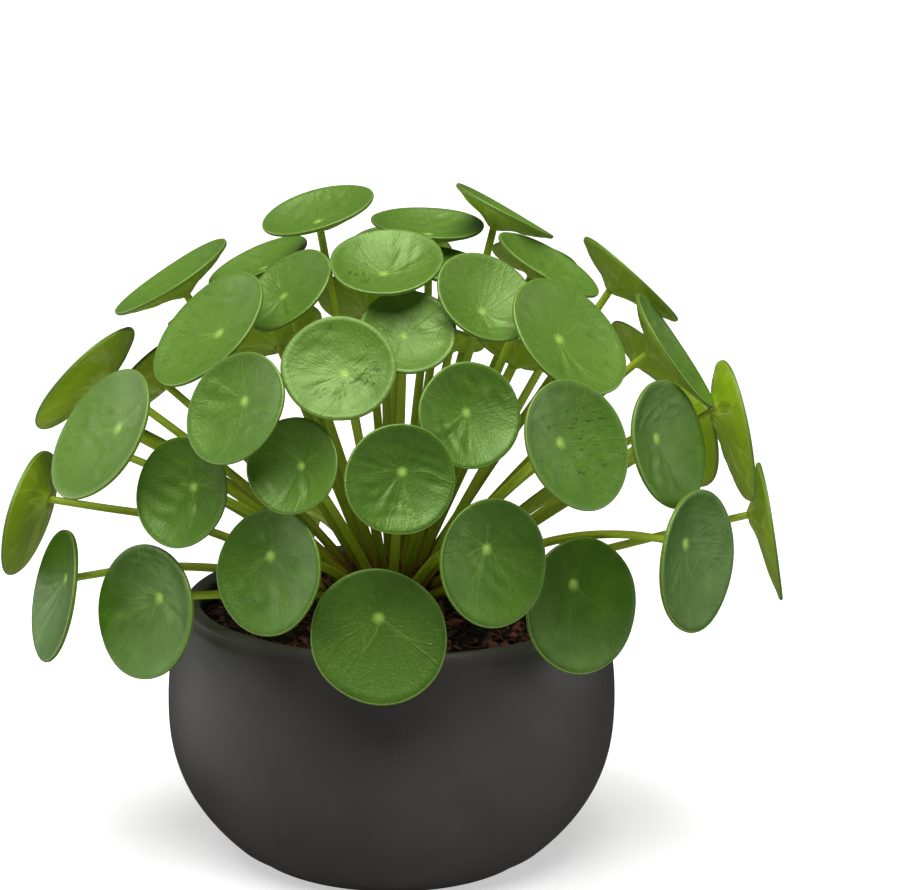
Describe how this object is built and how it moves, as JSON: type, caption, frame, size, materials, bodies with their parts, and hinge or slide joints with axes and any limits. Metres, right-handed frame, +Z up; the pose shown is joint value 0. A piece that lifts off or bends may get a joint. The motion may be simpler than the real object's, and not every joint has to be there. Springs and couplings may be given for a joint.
{
  "type": "potted chinese money plant",
  "caption": "House plant with round, dished leaves on long stalks, growing as a dome from a crown in a rounded matte bowl pot.",
  "frame": {"origin": "centre of the pot's flat base", "axes": "+Z up, -Y towards the plant's front, +X to the plant's right seen from the front"},
  "size_m": [0.3178, 0.2467, 0.2742],
  "materials": {
    "pot": "matte",
    "soil": "matte",
    "crown": "matte",
    "leaf": "satin"
  },
  "bodies": {
    "root": {"pot": "pot", "soil": "soil", "crown": "crown", "leaf_01": "leaf", "leaf_02": "leaf", "leaf_03": "leaf", "leaf_04": "leaf", "leaf_05": "leaf", "leaf_06": "leaf", "leaf_07": "leaf", "leaf_08": "leaf", "leaf_09": "leaf", "leaf_10": "leaf", "leaf_11": "leaf", "leaf_12": "leaf", "leaf_13": "leaf", "leaf_14": "leaf", "leaf_15": "leaf", "leaf_16": "leaf", "leaf_17": "leaf", "leaf_18": "leaf", "leaf_19": "leaf", "leaf_20": "leaf", "leaf_21": "leaf", "leaf_22": "leaf", "leaf_23": "leaf", "leaf_24": "leaf", "leaf_25": "leaf", "leaf_26": "leaf", "leaf_27": "leaf", "leaf_28": "leaf", "leaf_29": "leaf", "leaf_30": "leaf", "leaf_31": "leaf", "leaf_32": "leaf", "leaf_33": "leaf", "leaf_34": "leaf", "leaf_35": "leaf", "leaf_36": "leaf", "leaf_37": "leaf", "leaf_38": "leaf", "leaf_39": "leaf", "leaf_40": "leaf", "leaf_41": "leaf", "leaf_42": "leaf", "leaf_43": "leaf", "leaf_44": "leaf", "leaf_45": "leaf", "leaf_46": "leaf", "leaf_47": "leaf", "leaf_48": "leaf", "leaf_49": "leaf", "leaf_50": "leaf", "leaf_51": "leaf", "leaf_52": "leaf", "leaf_53": "leaf", "leaf_54": "leaf", "leaf_55": "leaf", "leaf_56": "leaf"}
  },
  "joints": []
}
